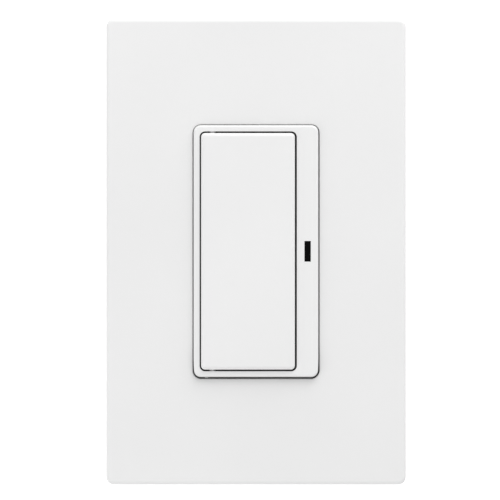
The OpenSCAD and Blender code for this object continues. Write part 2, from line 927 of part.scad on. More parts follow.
module ground_screw() {
    color("green")
        stand()
            translate([ground_tab_x, -housing_h / 2 - bend_gap - ground_bend - strap_t, ground_screw_z])
                rotate([90, 0, 0]) {
                    pan_head(ground_head_r, ground_head_h);
                    shank(box_screw_r, strap_t + screw_point, short_point);
                }
}

// Puts the children at a terminal, with X pointing out of the housing's side
module at_terminal(t) {
    translate([0, t[1], 0])
        rotate([0, 0, t[0] > 0 ? 0 : 180])
            children();
}

// Box behind the strap: terminal towers at its sides, columns for its screws, posts for the power board
module rear_housing() {
    side = housing_w / 2;
    plate_x = side - terminal_head_h - terminal_plate[0];
    pocket_low = terminal_z - terminal_pocket[2] / 2;
    wire_x = plate_x - clamp_gap / 2;
    tower_l = tower_top - housing_floor;
    recess_front = housing_back + label_recess[2];
    color("darkslategray")
        stand()
            difference() {
                union() {
                    difference() {
                        translate([0, 0, flange_back])
                            rotate([180, 0, 0])
                                soft_slab(housing_w, housing_h, housing_depth, housing_corner, housing_edge);
                        slab(
                            housing_w - 2 * housing_wall,
                            housing_h - 2 * housing_wall,
                            inner_corner,
                            housing_floor,
                            flange_back + past
                        );
                    }
                    for (t = terminals)
                        at_terminal(t)
                            translate([side - tower_in, -tower_h / 2, housing_floor - root])
                                cube([tower_in - housing_wall / 2, tower_h, tower_l + root]);
                    four(case_screw_at)
                        disc(column_r, housing_floor - root, flange_back);
                    four(post_at) {
                        disc(post_r, housing_floor - root, power_back);
                        disc(stake_r, power_back - root, power_front + stake_rise);
                    }
                }
                for (t = terminals)
                    at_terminal(t) {
                        translate([side - terminal_pocket[0], -terminal_pocket[1] / 2, pocket_low])
                            cube([terminal_pocket[0] + past, terminal_pocket[1], terminal_pocket[2]]);
                        translate([
                            plate_x - plate_slot,
                            -terminal_plate[1] / 2 - plate_slot,
                            tower_top - terminal_plate[2] - plate_slot
                        ])
                            cube([
                                terminal_plate[0] + 2 * plate_slot,
                                terminal_plate[1] + 2 * plate_slot,
                                terminal_plate[2] + past
                            ]);
                        for (s = [-1, 1])
                            translate([wire_x, s * wire_hole_at, 0]) {
                                disc(wire_hole_r, housing_back - past, pocket_low + past);
                                translate([0, 0, housing_back - touch])
                                    cylinder(r1 = wire_hole_r + funnel, r2 = wire_hole_r, h = funnel);
                            }
                    }
                four(case_screw_at) {
                    disc(case_screw_r + screw_room, housing_back - past, flange_back + past);
                    disc(case_head_r + screw_room, housing_back - past, housing_back + case_counterbore);
                }
                around(housing_w + 2 * past, housing_h + 2 * past, housing_corner + past)
                    translate([housing_corner - seam_depth, flange_back - seam_drop])
                        square([seam_depth + past, seam_w]);
                slab(label_recess[0], label_recess[1], inner_corner, housing_back - past, recess_front);
                translate([0, gauge_y, 0])
                    slab(gauge[0], gauge[1], gauge_corner, housing_back - past, housing_back + gauge[2]);
            }
}

// Long screws from the back of the housing into the strap
module housing_screws() {
    head_at = housing_back + case_counterbore;
    color("silver")
        stand()
            four(case_screw_at)
                translate([0, 0, head_at])
                    rotate([180, 0, 0]) {
                        pan_head(case_head_r, case_head_h);
                        shank(case_screw_r, strap_front - pin_room - head_at, thin_point);
                    }
}

module terminal_screw(t) {
    stand()
        at_terminal(t)
            translate([housing_w / 2 - terminal_head_h, 0, terminal_z])
                rotate([0, 90, 0]) {
                    pan_head(terminal_head_r, terminal_head_h);
                    shank(terminal_r, terminal_pocket[0] - terminal_head_h - hole_room, thin_point);
                }
}

module line_screw() {
    color("goldenrod")
        terminal_screw(terminals[0]);
}

module traveler_screw() {
    color("goldenrod")
        terminal_screw(terminals[1]);
}

module neutral_screw() {
    color("silver")
        terminal_screw(terminals[2]);
}

// Plates that the terminal screws draw outwards to hold a wire
module terminal_clamps() {
    outer = housing_w / 2 - terminal_head_h - terminal_plate[0] - clamp_gap;
    color("silver")
        stand()
            for (t = terminals)
                at_terminal(t)
                    difference() {
                        translate([outer - clamp[0], -clamp[1] / 2, terminal_z - clamp[2] / 2])
                            cube(clamp);
                        translate([outer - clamp[0] / 2, 0, terminal_z])
                            rotate([0, 90, 0])
                                cylinder(r = terminal_r + tap_gap, h = clamp[0] + 2 * past, center = true);
                    }
}

// Terminal plates, each with a tail over its tower and down through the power board
module terminal_plates() {
    plate_x = housing_w / 2 - terminal_head_h - terminal_plate[0];
    low = tower_top - terminal_plate[2];
    tail_end = power_back - tail_past;
    plate_bore = terminal_r + hole_room;
    color("goldenrod")
        stand()
            for (t = terminals)
                at_terminal(t) {
                    difference() {
                        translate([plate_x, -terminal_plate[1] / 2, low])
                            cube(terminal_plate);
                        translate([plate_x + terminal_plate[0] / 2, 0, terminal_z])
                            rotate([0, 90, 0])
                                cylinder(r = plate_bore, h = terminal_plate[0] + 2 * past, center = true);
                    }
                    translate([tail_x - tail_t / 2, -tail_w / 2, tower_top])
                        cube([plate_x + terminal_plate[0] - tail_x + tail_t / 2, tail_w, tail_t]);
                    translate([tail_x - tail_t / 2, -tail_w / 2, tail_end])
                        cube([tail_t, tail_w, tower_top + tail_t - tail_end]);
                    translate([plate_x, -tail_w / 2, tower_top - root])
                        cube([terminal_plate[0], tail_w, root + tail_t]);
                }
}

module header_places() {
    for (k = [0:header_pins - 1])
        translate([header_x, (k - (header_pins - 1) / 2) * header_pitch, 0])
            children();
}

// Board behind the pocket's floor, with the switch, the indicator and the controller on its front
module control_board() {
    color("darkgreen")
        stand()
            difference() {
                slab(board[0], board[1], board_corner, board_back, board_front);
                four(board_screw_at)
                    disc(board_screw_r + hole_room, board_back - past, board_front + past);
                header_places()
                    disc(header_hole_r, board_back - past, board_front + past);
            }
}

module control_board_screws() {
    color("silver")
        stand()
            four(board_screw_at)
                translate([0, 0, board_back])
                    rotate([180, 0, 0]) {
                        pan_head(board_head_r, board_head_h);
                        shank(board_screw_r, board_t + board_screw_bite, short_point);
                    }
}

// Case of the small push switch: hollow for the stem, metal lid, four feet
module tact_switch_case() {
    color("black")
        stand()
            translate([switch_x, 0, board_front]) {
                difference() {
                    translate([-tact / 2, -tact / 2, 0])
                        cube([tact, tact, tact_h]);
                    disc(tact_hollow_r, tact_base, tact_h - tact_lid);
                    disc(stem_r + seat_gap, tact_h - tact_lid - past, tact_h + past);
                }
                for (sx = [-1, 1], sy = [-1, 1])
                    translate([
                        sx * (tact / 2 + tact_foot_out) - tact_foot[0] / 2,
                        sy * tact_foot_row - tact_foot[1] / 2,
                        0
                    ])
                        cube(tact_foot);
            }
}

module tact_switch_stem() {
    lid = board_front + tact_h - tact_lid;
    color("black")
        stand()
            translate([switch_x, 0, 0]) {
                disc(stem_r, lid - stem_collar_t - stem_foot, stem_top);
                disc(stem_collar_r, lid - seat_gap - stem_collar_t, lid - seat_gap);
            }
}

module indicator_led() {
    color("ivory")
        stand()
            translate([lens_x, 0, board_front]) {
                translate([-led[0] / 2, -led[1] / 2, 0])
                    cube([led[0], led[1], led[2] * 0.5]);
                translate([-led[0] / 2, -led[1] * 0.3, 0])
                    cube([led[0], led[1] * 0.6, led[2]]);
            }
}

// Controller chip with feet on its four sides
module microcontroller() {
    color("black")
        stand()
            translate([chip_at[0], chip_at[1], board_front]) {
                translate([-chip[0] / 2, -chip[1] / 2, chip_lift])
                    cube(chip);
                for (q = [0:3], k = [0:chip_feet - 1])
                    rotate([0, 0, 90 * q])
                        translate([
                            chip[0] / 2 - chip_foot_in,
                            (k - (chip_feet - 1) / 2) * chip_pitch - chip_foot[1] / 2,
                            0
                        ])
                            cube(chip_foot);
            }
}

// Pins between the two boards, with a plastic body at each
module board_header() {
    half = header_pins * header_pitch / 2;
    color("dimgray")
        stand() {
            header_places()
                translate([-header_pin / 2, -header_pin / 2, power_back - lead_past])
                    cube([header_pin, header_pin, board_front - power_back + 2 * lead_past]);
            for (low = [board_back - header_body, power_front])
                translate([header_x - header_body / 2, -half, low])
                    cube([header_body, 2 * half, header_body]);
        }
}

// Two wires of a part on the power board, from its foot to past the back of the board
module leads(at, step, r, top) {
    for (s = [-1, 1])
        translate([at[0] + s * step[0] / 2, at[1] + s * step[1] / 2, 0])
            disc(r, power_back - lead_past, top);
}

module all_leads(r, top) {
    leads(supply_at, supply_step, r, top);
    leads(filter_at, filter_step, r, top);
    leads(varistor_at, varistor_step, r, top);
    leads(coil_at, coil_step, r, top);
    leads(fuse_at, fuse_step, r, top);
}

// Board at the back of the housing, with the supply on its front
module power_board() {
    color("darkgreen")
        stand()
            difference() {
                slab(power_board_size[0], power_board_size[1], board_corner, power_back, power_front);
                four(post_at)
                    disc(stake_r + seat_gap, power_back - past, power_front + past);
                header_places()
                    disc(header_hole_r, power_back - past, power_front + past);
                for (t = terminals)
                    at_terminal(t)
                        translate([tail_x - tail_t / 2 - pin_room, -tail_w / 2 - pin_room, power_back - past])
                            cube([tail_t + 2 * pin_room, tail_w + 2 * pin_room, power_t + 2 * past]);
                all_leads(lead_r + pin_room, power_front + past);
            }
}

module supply_capacitor() {
    color("midnightblue")
        stand() {
            leads(supply_at, supply_step, lead_r, power_front + lead_into);
            translate([supply_at[0], supply_at[1], power_front + 0.3])
                rotate_extrude()
                    polygon([
                        [0, 0],
                        [supply_r - 0.4, 0],
                        [supply_r, 0.4],
                        [supply_r, 1.6],
                        [supply_r - 0.35, 2],
                        [supply_r, 2.4],
                        [supply_r, supply_h - 0.5],
                        [supply_r - 0.5, supply_h],
                        [supply_r - 1, supply_h],
                        [supply_r - 1.1, supply_h - 0.2],
                        [0, supply_h - 0.2],
                    ]);
        }
}

module filter_capacitor() {
    color("goldenrod")
        stand() {
            leads(filter_at, filter_step, lead_r, power_front + lead_into);
            translate([filter_at[0], filter_at[1], 0])
                slab(filter_size[0], filter_size[1], 0.6, power_front + 0.2, power_front + filter_size[2]);
        }
}

module surge_varistor() {
    color("royalblue")
        stand() {
            leads(varistor_at, varistor_step, lead_r, power_front + varistor_r + 0.5);
            translate([varistor_at[0], varistor_at[1], power_front + varistor_r + 0.6])
                rotate([90, 0, 0]) {
                    cylinder(r = varistor_r, h = varistor_t * 0.6, center = true);
                    cylinder(r = varistor_r - 0.5, h = varistor_t, center = true);
                }
        }
}

module filter_inductor() {
    color("dimgray")
        stand() {
            leads(coil_at, coil_step, lead_r, power_front + lead_into);
            translate([coil_at[0], coil_at[1], 0]) {
                disc(coil_r, power_front + 0.2, power_front + 1.6);
                disc(coil_r * 0.86, power_front + 1, power_front + coil_h - 0.6);
                disc(coil_r, power_front + coil_h - 1.4, power_front + coil_h);
            }
        }
}

module fuse_resistor() {
    axis_z = power_front + fuse_r + 0.5;
    color("seagreen")
        stand() {
            leads(fuse_at, fuse_step, lead_r, axis_z + 0.2);
            translate([fuse_at[0], fuse_at[1], axis_z])
                rotate([90, 0, 0]) {
                    cylinder(r = fuse_r - 0.2, h = fuse_l, center = true);
                    for (s = [-1, 1])
                        translate([0, 0, s * (fuse_l - fuse_cap) / 2])
                            cylinder(r = fuse_r, h = fuse_cap, center = true);
                    cylinder(r = lead_r, h = fuse_step[1] + 2 * lead_r - 0.1, center = true);
                }
        }
}

// Thin sheet on the tails of the terminals, between the two boards
module insulator_sheet() {
    low = tower_top + tail_t;
    color("peru")
        stand()
            difference() {
                slab(sheet_size[0], sheet_size[1], board_corner, low, low + sheet_t);
                translate([header_x - header_room / 2, -header_pins * header_pitch / 2, low - past])
                    cube([header_room, header_pins * header_pitch, sheet_t + 2 * past]);
            }
}

wall_plate();
sub_plate();
sub_plate_screws();
front_frame();
paddle();
upper_return_spring();
lower_return_spring();
indicator_lens();
mounting_strap();
box_screws();
screw_retainers();
ground_screw();
rear_housing();
housing_screws();
line_screw();
traveler_screw();
neutral_screw();
terminal_clamps();
terminal_plates();
control_board();
control_board_screws();
tact_switch_case();
tact_switch_stem();
indicator_led();
microcontroller();
board_header();
power_board();
supply_capacitor();
filter_capacitor();
surge_varistor();
filter_inductor();
fuse_resistor();
insulator_sheet();
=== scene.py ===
"""Smart accessory switch: finishes, fine pieces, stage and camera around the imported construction."""

import math
from typing import NamedTuple

import bpy
import numpy as np
from mathutils import Matrix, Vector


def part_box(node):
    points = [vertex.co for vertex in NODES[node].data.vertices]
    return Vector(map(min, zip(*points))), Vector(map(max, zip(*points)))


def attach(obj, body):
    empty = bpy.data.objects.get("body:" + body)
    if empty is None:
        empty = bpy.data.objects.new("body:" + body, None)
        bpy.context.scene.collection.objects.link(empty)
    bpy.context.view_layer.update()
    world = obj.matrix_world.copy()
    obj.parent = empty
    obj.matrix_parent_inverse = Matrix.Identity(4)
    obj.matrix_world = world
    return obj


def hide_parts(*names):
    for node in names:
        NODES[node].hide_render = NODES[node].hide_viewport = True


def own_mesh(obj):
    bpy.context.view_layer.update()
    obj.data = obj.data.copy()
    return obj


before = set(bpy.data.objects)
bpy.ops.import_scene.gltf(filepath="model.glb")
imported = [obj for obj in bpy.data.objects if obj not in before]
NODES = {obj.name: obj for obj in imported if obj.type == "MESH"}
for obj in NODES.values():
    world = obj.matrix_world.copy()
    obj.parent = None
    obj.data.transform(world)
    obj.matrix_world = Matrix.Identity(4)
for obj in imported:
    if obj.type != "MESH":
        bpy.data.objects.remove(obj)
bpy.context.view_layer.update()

bl_info = {
    "name": "Accessory switch finishes",
    "version": (1, 0, 0),
    "blender": (4, 5, 0),
    "location": "3D View > Sidebar > Switch",
    "description": "Dresses a wall accessory switch: mouldings, metals, boards, threads, stage and camera",
    "category": "Object",
}

MM = 0.001
PHOTO_SIDE = 500


def linear(hex_colour):
    """sRGB hex such as "F0F0EE" to linear red, green and blue."""
    parts = np.array([int(hex_colour[k : k + 2], 16) for k in (0, 2, 4)]) / 255
    curve = np.where(parts <= 0.04045, parts / 12.92, ((parts + 0.055) / 1.055) ** 2.4)
    return tuple(float(c) for c in curve)


def rgba(hex_colour):
    return (*linear(hex_colour), 1.0)


def add_node(tree, kind, props=None, inputs=None):
    """Adds one shader node. An input given as a socket is linked, any other input is set."""
    node = tree.nodes.new(kind)
    for name, value in (props or {}).items():
        setattr(node, name, value)
    for name, value in (inputs or {}).items():
        socket = node.inputs[name]
        if isinstance(value, bpy.types.NodeSocket):
            tree.links.new(value, socket)
        else:
            socket.default_value = value
    return node


def new_material(name):
    """Empty material with its tree and the output of an Object coordinate node."""
    material = bpy.data.materials.new(name)
    material.use_nodes = True
    tree = material.node_tree
    tree.nodes.clear()
    place = add_node(tree, "ShaderNodeTexCoord").outputs["Object"]
    return material, tree, place


def two_tones(tree, factor, low, high, start=0.35, end=0.65):
    """Colour between two sRGB hex tones, steered by a factor."""
    ramp = add_node(tree, "ShaderNodeValToRGB", inputs={"Fac": factor})
    ramp.color_ramp.elements[0].position = start
    ramp.color_ramp.elements[0].color = rgba(low)
    ramp.color_ramp.elements[1].position = end
    ramp.color_ramp.elements[1].color = rgba(high)
    return ramp.outputs["Color"]


def span(tree, value, low, high):
    """Spreads a 0 to 1 pattern over a range."""
    inputs = {"Value": value, "To Min": low, "To Max": high}
    return add_node(tree, "ShaderNodeMapRange", inputs=inputs).outputs["Result"]


def noise(tree, place, apart_mm, detail, **more):
    """Noise on a place in metres, with features this many millimetres apart."""
    inputs = {"Vector": place, "Scale": 1.0 / (apart_mm * MM), "Detail": detail, **more}
    return add_node(tree, "ShaderNodeTexNoise", inputs=inputs).outputs["Fac"]


def relief(tree, height, depth_mm):
    """Normals of a surface whose 0 to 1 height is this many millimetres deep."""
    inputs = {"Height": height, "Distance": depth_mm * MM}
    return add_node(tree, "ShaderNodeBump", inputs=inputs).outputs["Normal"]


def surface(tree, inputs):
    """Principled surface, joined to the material's output."""
    shader = add_node(tree, "ShaderNodeBsdfPrincipled", inputs=inputs)
    add_node(tree, "ShaderNodeOutputMaterial", inputs={"Surface": shader.outputs[0]})


def reckon(tree, operation, *values):
    """One step of arithmetic on sockets and numbers."""
    return add_node(tree, "ShaderNodeMath", {"operation": operation}, dict(enumerate(values))).outputs[0]


def within(tree, value, limit_mm):
    """1 where a coordinate lies nearer to 0 than the limit, and 0 beyond it."""
    return reckon(tree, "LESS_THAN", reckon(tree, "ABSOLUTE", value), limit_mm * MM)


def fall_between(tree, value, start_mm, end_mm):
    """0 at the first coordinate, rising to 1 at the second."""
    inputs = {"Value": value, "From Min": start_mm * MM, "From Max": end_mm * MM}
    return add_node(tree, "ShaderNodeMapRange", inputs=inputs).outputs["Result"]


class Gap(NamedTuple):
    """Painted shade on the sides of a gap: where it lies, in millimetres, and its sRGB tones.

    Front and deep are the depths, counted out of the wall, where it begins and where it is full. Reach is
    how far from the middle it goes. Towards the bottom, where shadow falls, the painted shade rises nearer
    to the front and has its low tone. The unshaded hinge is the column, the half width and the reach along
    Z of the spots round the hinge pins that are left without painted shade.
    """

    front: float
    deep: float
    reach_x: float
    reach_z: float
    rise: float
    painted_shade: str
    painted_low_shade: str
    unshaded_hinge: tuple = ()


def gap_shade(tree, place, colour, gap):
    """Colour that falls away to painted shade in a gap."""
    axes = add_node(tree, "ShaderNodeSeparateXYZ", inputs={"Vector": place}).outputs
    # The painted shade starts to darken this far down, and is darkest near the lower end.
    bottom_share = fall_between(tree, axes["Z"], -0.7 * gap.reach_z, -0.95 * gap.reach_z)
    level = reckon(tree, "MULTIPLY_ADD", bottom_share, gap.rise * MM, axes["Y"])
    fall = fall_between(tree, level, -gap.front, -gap.deep)
    beside = within(tree, axes["X"], gap.reach_x)
    inside = reckon(tree, "MULTIPLY", beside, within(tree, axes["Z"], gap.reach_z))
    # Round the hinge pins the painted shade is left off, so that the pins show light.
    if gap.unshaded_hinge:
        column, half, ends = gap.unshaded_hinge
        near = within(tree, reckon(tree, "SUBTRACT", axes["X"], column * MM), half)
        left_unshaded = reckon(tree, "MULTIPLY", near, within(tree, axes["Z"], ends))
        inside = reckon(tree, "MULTIPLY", inside, reckon(tree, "SUBTRACT", 1.0, left_unshaded))
    # The painted shade goes over to its low tone towards the bottom, where shadow falls.
    tone = two_tones(tree, bottom_share, gap.painted_shade, gap.painted_low_shade, 0.0, 1.0)
    share = reckon(tree, "MULTIPLY", fall, inside)
    mix = add_node(tree, "ShaderNodeMix", {"data_type": "RGBA"}, {0: share})
    colour_in, painted_shade_in = (socket for socket in mix.inputs if socket.type == "RGBA")
    tree.links.new(colour, colour_in)
    tree.links.new(tone, painted_shade_in)
    return next(socket for socket in mix.outputs if socket.type == "RGBA")


def moulded(name, low, high, rough, grain_mm, grain_depth, flow_mm=45.0, ior=1.55, gloss=0.5, gap=None):
    """Injection moulding: slow tone drift of the melt, and the fine grain of a spark-eroded tool."""
    material, tree, place = new_material(name)
    colour = two_tones(tree, noise(tree, place, flow_mm, 2.0), low, high)
    # A gap given here lays painted shade over the colour on the sides of that gap.
    if gap:
        colour = gap_shade(tree, place, colour, gap)
    grain = noise(tree, place, grain_mm, 4.0, Roughness=0.6)
    surface(
        tree,
        {
            "Base Color": colour,
            "Roughness": span(tree, grain, rough - 0.04, rough + 0.05),
            "IOR": ior,
            "Specular IOR Level": gloss,
            "Normal": relief(tree, grain, grain_depth),
        },
    )
    return material


def metal(name, low, high, rough, mark_mm, scale, mark_depth):
    """Bare or plated metal. Its fine marks run along the axis with the smallest scale."""
    material, tree, place = new_material(name)
    drawn = add_node(tree, "ShaderNodeMapping", inputs={"Vector": place, "Scale": scale})
    marks = noise(tree, drawn.outputs["Vector"], mark_mm, 5.0, Roughness=0.65)
    clouds = noise(tree, place, 7.0, 3.0)
    surface(
        tree,
        {
            "Base Color": two_tones(tree, clouds, low, high, 0.3, 0.7),
            "Metallic": 1.0,
            "Roughness": span(tree, marks, rough - 0.07, rough + 0.1),
            "Normal": relief(tree, marks, mark_depth),
        },
    )
    return material


def solder_mask():
    """Green solder mask over etched copper: tracks show as raised, lighter lines under the lacquer."""
    material, tree, place = new_material("solder_mask_laminate")
    tracks = add_node(
        tree,
        "ShaderNodeTexBrick",
        inputs={
            "Vector": place,
            "Scale": 1.0 / (9.0 * MM),
            "Mortar Size": 0.035,
            "Color1": rgba("12502F"),
            "Color2": rgba("0E4629"),
            "Mortar": rgba("2A7A4B"),
        },
    ).outputs
    surface(
        tree,
        {
            "Base Color": tracks["Color"],
            "Roughness": 0.28,
            "IOR": 1.52,
            "Normal": relief(tree, tracks["Fac"], 0.035),
        },
    )
    return material


def pressed_fibre(name, low, high):
    """Vulcanised fibre: short matted fibres, calendered flat."""
    material, tree, place = new_material(name)
    fibres = noise(tree, place, 0.5, 8.0, Distortion=1.4)
    surface(
        tree,
        {
            "Base Color": two_tones(tree, fibres, low, high, 0.3, 0.7),
            "Roughness": 0.82,
            "IOR": 1.5,
            "Normal": relief(tree, fibres, 0.03),
        },
    )
    return material


def paper(name, glow):
    """Matt white paper with a slow tone drift, lit through from behind by its glow."""
    material, tree, place = new_material(name)
    surface(
        tree,
        {
            "Base Color": two_tones(tree, noise(tree, place, 300.0, 3.0), "E9E9E9", "EDEDED"),
            "Roughness": 0.9,
            "Emission Color": rgba("FFFFFF"),
            "Emission Strength": glow,
        },
    )
    return material


def dress(node, material):
    """Gives a node its finish."""
    mesh = NODES[node].data
    mesh.materials.clear()
    mesh.materials.append(material)


class SWITCH_OT_front(bpy.types.Operator):
    """Finishes the plate, the frame, the paddle and the plate they snap on to"""

    bl_idname = "switch.front"
    bl_label = "White mouldings"

    def execute(self, context):
        look = context.scene.switch_look
        # Satin ABS blend from a finely eroded tool: even, almost neutral white with a soft sheen.
        # Painted shade darkens the sides of the gaps. The hinge pins and what they touch are left unshaded.
        hinge = float(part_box("paddle")[0][0] + look.hinge_in) / MM
        unshaded_hinge = (hinge, 0.85, 32.6)
        plate_gap = Gap(6.8, 6.5, 17.2, 34.2, 0.14, "4A4845", "040404")
        frame_gap = Gap(7.5, 7.3, 16.7, 33.6, 0.75, "4A4845", "353432", unshaded_hinge)
        paddle_gap = Gap(8.9, 8.3, 20.0, 31.38, 0.0, "0C0C0C", "0C0C0C", unshaded_hinge)
        finish = (look.plate_roughness, 0.35, 0.0015)
        dress("wall_plate", moulded("satin_white_abs_plate", "EEEEEE", "F0F0F0", *finish, gap=plate_gap))
        dress("front_frame", moulded("satin_white_abs_frame", "EFEFEF", "F1F1F1", *finish, gap=frame_gap))
        dress("paddle", moulded("satin_white_abs_paddle", "EFEFEF", "F1F1F1", *finish, gap=paddle_gap))
        # Hidden carrier in a duller grade that is left as moulded.
        dress("sub_plate", moulded("matt_white_abs_carrier", "DDDDDB", "E2E2E0", 0.6, 0.6, 0.004))
        return {"FINISHED"}


class SWITCH_OT_lens(bpy.types.Operator):
    """Finishes the smoked lens in the frame's right-hand strip"""

    bl_idname = "switch.lens"
    bl_label = "Indicator lens"

    def execute(self, context):
        # Smoked acrylic, unlit: near black with a polished face.
        acrylic = moulded("smoked_acrylic", "060607", "090909", 0.14, 1.5, 0.0003, 6.0, 1.49, 0.05)
        dress("indicator_lens", acrylic)
        return {"FINISHED"}


class SWITCH_OT_metals(bpy.types.Operator):
    """Finishes the strap, the screws, the springs and the terminals"""

    bl_idname = "switch.metals"
    bl_label = "Metal pieces"

    def execute(self, context):
        # Zinc-plated strip steel: rolled lengthwise, greyish and dull.
        strap = metal("zinc_plated_strip", "A9ABAC", "B9BBBC", 0.36, 0.25, (1.0, 1.0, 0.06), 0.004)
        dress("mounting_strap", strap)
        # Bright zinc on headed and rolled screws.
        screws = metal("bright_zinc_screws", "B4B6B6", "C6C8C8", 0.28, 0.2, (1.0, 0.3, 1.0), 0.003)
        dress("terminal_clamps", screws)
        for place in ("sub_plate", "box", "housing", "control_board"):
            dress(place + "_screws", screws)
        # Drawn spring wire with an oily sheen.
        wire = metal("drawn_spring_wire", "8E9092", "A2A4A6", 0.3, 0.1, (1.0, 1.0, 1.0), 0.001)
        dress("upper_return_spring", wire)
        dress("lower_return_spring", wire)
        # Bare brass, slightly dulled by handling.
        brass = metal("bare_brass", "C09A4E", "D2AE62", 0.33, 0.3, (1.0, 0.2, 1.0), 0.002)
        for node in ("line_screw", "traveler_screw", "terminal_plates"):
            dress(node, brass)
        dress("neutral_screw", metal("nickel_plate", "C3C0B8", "D0CDC6", 0.24, 0.3, (1.0, 0.2, 1.0), 0.001))
        # Green dye over zinc, so metal still shows through it.
        dyed = metal("green_dyed_zinc", "1B6B34", "25803F", 0.3, 0.25, (1.0, 1.0, 1.0), 0.002)
        dress("ground_screw", dyed)
        return {"FINISHED"}


class SWITCH_OT_threads(bpy.types.Operator):
    """Makes the wall box screws again with their rolled threads"""

    bl_idname = "switch.threads"
    bl_label = "Threaded box screws"

    def execute(self, context):
        look = context.scene.switch_look
        low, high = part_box("box_screws")
        seat = -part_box("mounting_strap")[0][1]
        thread_top = -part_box("screw_retainers")[1][1]
        screw = box_screw_mesh(look, -low[1] - seat, seat - thread_top, thread_top + high[1])
        rows = {
            "upper_box_screw": high[2] - look.screw_head,
            "lower_box_screw": low[2] + look.screw_head,
        }
        for name, row in rows.items():
            piece = mesh_copy(name, screw, (0.0, -seat, row))
            piece.data.materials.append(NODES["box_screws"].data.materials[0])
            finish_piece(piece, "box_screws")
        bpy.data.meshes.remove(screw)
        return {"FINISHED"}


class SWITCH_OT_springs(bpy.types.Operator):
    """Makes the return springs again as smooth coils"""

    bl_idname = "switch.springs"
    bl_label = "Return springs"

    def execute(self, context):
        look = context.scene.switch_look
        for node in ("upper_return_spring", "lower_return_spring"):
            low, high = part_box(node)
            centre = (low + high) / 2
            height = high[1] - low[1]
            reach = (high[0] - low[0]) / 2
            foot = (centre[0], high[1], centre[2])
            piece = coil_piece("smooth_" + node, look, height, reach, foot)
            piece.data.materials.append(NODES[node].data.materials[0])
            finish_piece(piece, node)
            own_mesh(piece)
        return {"FINISHED"}


class SWITCH_OT_housing(bpy.types.Operator):
    """Finishes the rear housing and the washers that hold the long screws"""

    bl_idname = "switch.housing"
    bl_label = "Rear housing"

    def execute(self, context):
        # Glass-filled nylon: charcoal, with a slightly streaky, dry surface.
        dress("rear_housing", moulded("glass_filled_nylon", "1C1D1F", "232426", 0.55, 0.5, 0.008, 9.0))
        dress("screw_retainers", pressed_fibre("vulcanised_fibre_washer", "2C2A28", "3A3734"))
        return {"FINISHED"}


class SWITCH_OT_boards(bpy.types.Operator):
    """Finishes the two boards, the sheet between them and everything that is soldered to them"""

    bl_idname = "switch.boards"
    bl_label = "Circuit boards"

    def execute(self, context):
        mask = solder_mask()
        dress("control_board", mask)
        dress("power_board", mask)
        dress("insulator_sheet", pressed_fibre("insulating_fibre_sheet", "B48F60", "C4A173"))
        black = moulded("black_polyamide", "0F0F10", "161617", 0.5, 0.4, 0.004, 5.0)
        for node in ("board_header", "tact_switch_case", "tact_switch_stem"):
            dress(node, black)
        # Transfer-moulded epoxy with a fine satin blast.
        dress("microcontroller", moulded("chip_epoxy", "131314", "1A1A1B", 0.62, 0.25, 0.006, 3.0))
        dress("indicator_led", moulded("clear_led_resin", "DAD8C4", "E4E2D0", 0.2, 1.0, 0.001, 2.0, 1.5))
        sleeve = moulded("shrink_sleeve_pvc", "141E3C", "1B2748", 0.3, 2.5, 0.02, 6.0, 1.53)
        dress("supply_capacitor", sleeve)
        dress("filter_capacitor", moulded("film_box_polyester", "C89A22", "D2A62E", 0.32, 0.8, 0.004, 6.0))
        dress("surge_varistor", moulded("dipped_epoxy_blue", "1E4A8C", "275699", 0.22, 1.8, 0.03, 3.0))
        dress("filter_inductor", moulded("sintered_ferrite", "2A2A2C", "36363A", 0.5, 0.3, 0.01, 2.0))
        dress("fuse_resistor", moulded("flameproof_lacquer", "2E6A4A", "387656", 0.45, 0.5, 0.01, 2.0))
        return {"FINISHED"}


class SWITCH_OT_stage(bpy.types.Operator):
    """Makes the pale floor and backdrop, the soft lights and the camera"""

    bl_idname = "switch.stage"
    bl_label = "Stage and camera"

    def execute(self, context):
        look = context.scene.switch_look
        stage_sheets(look)
        soft_lights(context.scene, look)
        place_camera(context.scene, look)
        return {"FINISHED"}


def tube_faces(rows, sides):
    """Outward faces over rings of points that are stored ring by ring, and a flat face over each end."""
    r, c = np.meshgrid(np.arange(rows - 1), np.arange(sides), indexing="ij")
    here = r * sides + c
    right = r * sides + (c + 1) % sides
    walls = np.stack([here, here + sides, right + sides, right], axis=-1).reshape(-1, 4).tolist()
    last = (rows - 1) * sides
    return [*walls, list(range(sides)), list(range(last, last + sides))[::-1]]


def new_piece(name, mesh):
    """New object in the scene for a mesh."""
    piece = bpy.data.objects.new(name, mesh)
    bpy.context.scene.collection.objects.link(piece)
    return piece


def mesh_object(name, points, faces, smooth=True):
    """New piece from an array of points and a list of faces, with its place in the mesh."""
    mesh = bpy.data.meshes.new(name)
    mesh.from_pydata(np.reshape(points, (-1, 3)).tolist(), [], faces)
    mesh.polygons.foreach_set("use_smooth", [smooth] * len(mesh.polygons))
    mesh.update()
    return new_piece(name, mesh)


def mesh_copy(name, mesh, shift):
    """New piece from a mesh, with its place in the mesh."""
    data = mesh.copy()
    data.name = name
    data.transform(Matrix.Translation(shift))
    return new_piece(name, data)


def finish_piece(piece, node):
    """Hides the node that a new piece stands for, and lets the piece ride the device."""
    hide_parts(node)
    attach(piece, "device")


def turned_object(name, radius, height):
    """Turned surface round an axis that points out of the wall, closed at both ends by flat caps.

    A point at turn a lies at radius times cosine a along X and radius times sine a along Z, and at minus its
    height along Y. Radius has a row for each height, the front one first, and a column for each turn.
    """
    rows, sides = radius.shape
    turn = np.linspace(0.0, 2 * np.pi, sides, endpoint=False)
    level = np.broadcast_to(-height[:, None], radius.shape)
    points = np.stack([radius * np.cos(turn), level, radius * np.sin(turn)], axis=-1)
    return mesh_object(name, points, tube_faces(rows, sides))


